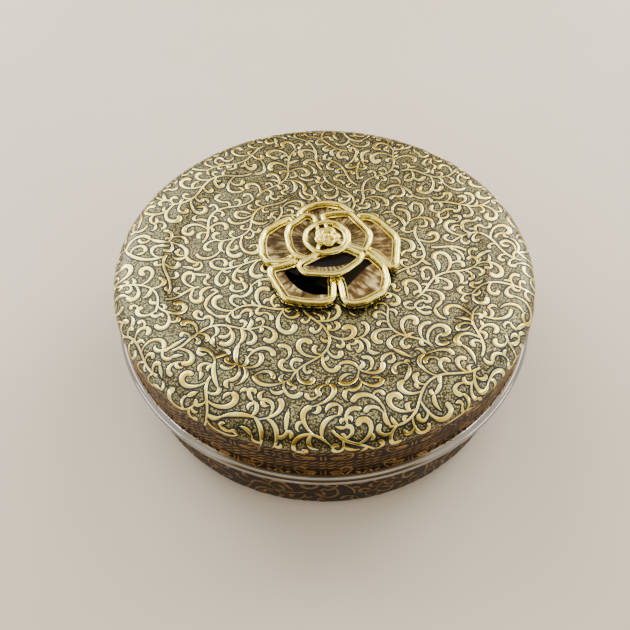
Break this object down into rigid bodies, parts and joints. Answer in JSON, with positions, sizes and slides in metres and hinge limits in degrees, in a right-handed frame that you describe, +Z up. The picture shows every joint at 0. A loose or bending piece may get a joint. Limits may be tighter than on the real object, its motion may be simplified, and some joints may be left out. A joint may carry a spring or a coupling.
{
  "type": "spice box",
  "caption": "Round printed metal spice box with a lift-off lid, a cast rose knob, loose cups around a centre cup, and a small spoon.",
  "frame": {"origin": "centre of the base's underside, on the surface the box stands on", "axes": "+Z up along the box's axis and the way the lid lifts, +X towards the spoon's handle, -Y the side towards the viewer"},
  "size_m": [0.19, 0.19, 0.0715],
  "materials": {
    "base_sheet": "steel sheet printed all over with antique gold scrolls on dark brown",
    "lid_sheet": "steel sheet printed with pale gold scrolls outlined in blue-black, with a plain polished curled edge",
    "gold_plate": "bright gold plate on the raised edges, antiqued bronze in the hollows",
    "screw_steel": "zinc plated",
    "washer_steel": "plain",
    "cup_steel": "polished stainless steel, spun lines inside",
    "spoon_steel": "polished stainless steel"
  },
  "bodies": {
    "base": {"base": "base_sheet"},
    "lid": {"lid": "lid_sheet", "rose_knob": "gold_plate", "knob_screw": "screw_steel", "knob_washer": "washer_steel"},
    "cup_centre": {"cup_centre": "cup_steel"},
    "cup_1": {"cup_1": "cup_steel"},
    "cup_2": {"cup_2": "cup_steel"},
    "cup_3": {"cup_3": "cup_steel"},
    "cup_4": {"cup_4": "cup_steel"},
    "cup_5": {"cup_5": "cup_steel"},
    "cup_6": {"cup_6": "cup_steel"},
    "spoon": {"spoon": "spoon_steel"}
  },
  "joints": [
    {"name": "lid_lift", "type": "slide", "parent": "base", "child": "lid", "axis": [0, 0, 1], "range_m": [0, 0.18]},
    {"name": "cup_centre_lift", "type": "slide", "parent": "base", "child": "cup_centre", "axis": [0, 0, 1], "range_m": [0, 0.006]},
    {"name": "spoon_lift", "type": "slide", "parent": "cup_centre", "child": "spoon", "axis": [0, 0, 1], "range_m": [0, 0.003]},
    {"name": "cup_1_lift", "type": "slide", "parent": "base", "child": "cup_1", "axis": [0, 0, 1], "range_m": [0, 0.015]},
    {"name": "cup_2_lift", "type": "slide", "parent": "base", "child": "cup_2", "axis": [0, 0, 1], "range_m": [0, 0.015]},
    {"name": "cup_3_lift", "type": "slide", "parent": "base", "child": "cup_3", "axis": [0, 0, 1], "range_m": [0, 0.015]},
    {"name": "cup_4_lift", "type": "slide", "parent": "base", "child": "cup_4", "axis": [0, 0, 1], "range_m": [0, 0.015]},
    {"name": "cup_5_lift", "type": "slide", "parent": "base", "child": "cup_5", "axis": [0, 0, 1], "range_m": [0, 0.015]},
    {"name": "cup_6_lift", "type": "slide", "parent": "base", "child": "cup_6", "axis": [0, 0, 1], "range_m": [0, 0.015]}
  ]
}
